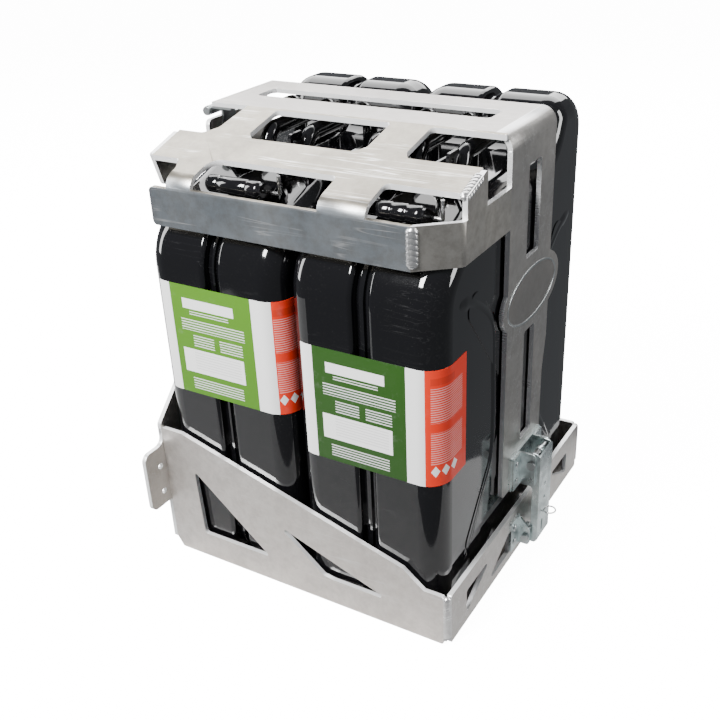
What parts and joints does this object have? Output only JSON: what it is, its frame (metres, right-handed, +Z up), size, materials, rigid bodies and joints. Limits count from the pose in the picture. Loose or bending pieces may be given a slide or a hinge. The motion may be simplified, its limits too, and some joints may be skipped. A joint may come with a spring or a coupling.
{
  "type": "jerry can carrier",
  "caption": "Folded sheet tray with a tall hinged hood and an over-centre side latch, holding two slim pressed steel fuel cans upright by their shoulders",
  "frame": {"origin": "middle of the tray's underside", "axes": "+X is the latch side, -Y is the front with the sloping header, +Z is up"},
  "size_m": [0.3859, 0.397, 0.479],
  "materials": {
    "carrier_sheet": "mill finish, mottled and lightly scratched",
    "weld_bead": "rippled bright weld",
    "hinge_steel": "satin plated",
    "latch_steel": "bright plated, slightly blue",
    "fastener_steel": "plated",
    "can_paint": "glossy powder coat",
    "bare_steel": "drawn",
    "left_label": "satin printed film",
    "right_label": "satin printed film",
    "gasket_rubber": "matte"
  },
  "bodies": {
    "tray": {"tray_floor": "carrier_sheet", "tray_front_wall": "carrier_sheet", "tray_rear_wall": "carrier_sheet", "tray_right_wall": "carrier_sheet", "tray_left_plate": "carrier_sheet", "tray_corner_welds": "weld_bead", "latch_keeper": "latch_steel", "keeper_bolt": "fastener_steel", "keeper_rivets": "fastener_steel", "hinge_fixed_leaf": "hinge_steel", "left_can_left_half": "can_paint", "left_can_right_half": "can_paint", "left_can_seam": "can_paint", "left_can_handles": "can_paint", "left_can_neck": "can_paint", "left_can_vent_tube": "bare_steel", "left_can_label": "left_label", "left_cap_hinge_pin": "bare_steel", "right_can_left_half": "can_paint", "right_can_right_half": "can_paint", "right_can_seam": "can_paint", "right_can_handles": "can_paint", "right_can_neck": "can_paint", "right_can_vent_tube": "bare_steel", "right_can_label": "right_label", "right_cap_hinge_pin": "bare_steel"},
    "hood": {"hinge_hood_leaf": "hinge_steel", "hood_hinge_pin": "hinge_steel", "hood_top_plate": "carrier_sheet", "hood_right_upright": "carrier_sheet", "header_deck": "carrier_sheet", "header_right_wing": "carrier_sheet", "header_left_wing": "carrier_sheet", "header_welds": "weld_bead", "latch_backing_plate": "latch_steel", "latch_bracket": "latch_steel", "latch_rivets": "fastener_steel", "latch_pivots": "fastener_steel"},
    "lever": {"latch_lever": "latch_steel", "link_pin": "fastener_steel", "latch_spring": "fastener_steel"},
    "link": {"hook_link": "latch_steel"},
    "ring": {"pull_ring": "fastener_steel"},
    "left_cap_body": {"left_cap": "can_paint", "left_cap_gasket": "gasket_rubber", "left_cap_lock_pin": "bare_steel"},
    "left_cap_grip": {"left_cap_lever": "can_paint"},
    "right_cap_body": {"right_cap": "can_paint", "right_cap_gasket": "gasket_rubber", "right_cap_lock_pin": "bare_steel"},
    "right_cap_grip": {"right_cap_lever": "can_paint"}
  },
  "joints": [
    {"name": "hood_swing", "type": "hinge", "parent": "tray", "child": "hood", "pos_m": [-0.171, 0, 0.469], "axis": [0, -1, 0], "range_deg": [0, 105]},
    {"name": "latch_swing", "type": "hinge", "parent": "hood", "child": "lever", "pos_m": [0.188, 0.01, 0.1156], "axis": [0, -1, 0], "range_deg": [0, 150]},
    {"name": "hook_swing", "type": "hinge", "parent": "lever", "child": "link", "pos_m": [0.1896, 0.01, 0.1247], "axis": [0, -1, 0], "range_deg": [-138, 0]},
    {"name": "ring_swing", "type": "hinge", "parent": "lever", "child": "ring", "pos_m": [0.196, 0.014, 0.047], "axis": [0, 1, 0], "range_deg": [-20, 20]},
    {"name": "left_cap_swing", "type": "hinge", "parent": "tray", "child": "left_cap_body", "pos_m": [-0.058, -0.08984, 0.42715], "axis": [-1, 0, 0], "range_deg": [0, 70]},
    {"name": "left_grip_swing", "type": "hinge", "parent": "left_cap_body", "child": "left_cap_grip", "pos_m": [-0.058, -0.13933, 0.4278], "axis": [-1, 0, 0], "range_deg": [0, 60]},
    {"name": "right_cap_swing", "type": "hinge", "parent": "tray", "child": "right_cap_body", "pos_m": [0.108, -0.08984, 0.42715], "axis": [-1, 0, 0], "range_deg": [0, 70]},
    {"name": "right_grip_swing", "type": "hinge", "parent": "right_cap_body", "child": "right_cap_grip", "pos_m": [0.108, -0.13933, 0.4278], "axis": [-1, 0, 0], "range_deg": [0, 60]}
  ],
  "couplings": [
    {"joint": "hook_swing", "follows": "latch_swing", "ratio": -0.92},
    {"joint": "left_cap_swing", "follows": "hood_swing", "ratio": 0.66},
    {"joint": "left_grip_swing", "follows": "hood_swing", "ratio": 0.57},
    {"joint": "right_cap_swing", "follows": "hood_swing", "ratio": 0.66},
    {"joint": "right_grip_swing", "follows": "hood_swing", "ratio": 0.57}
  ]
}
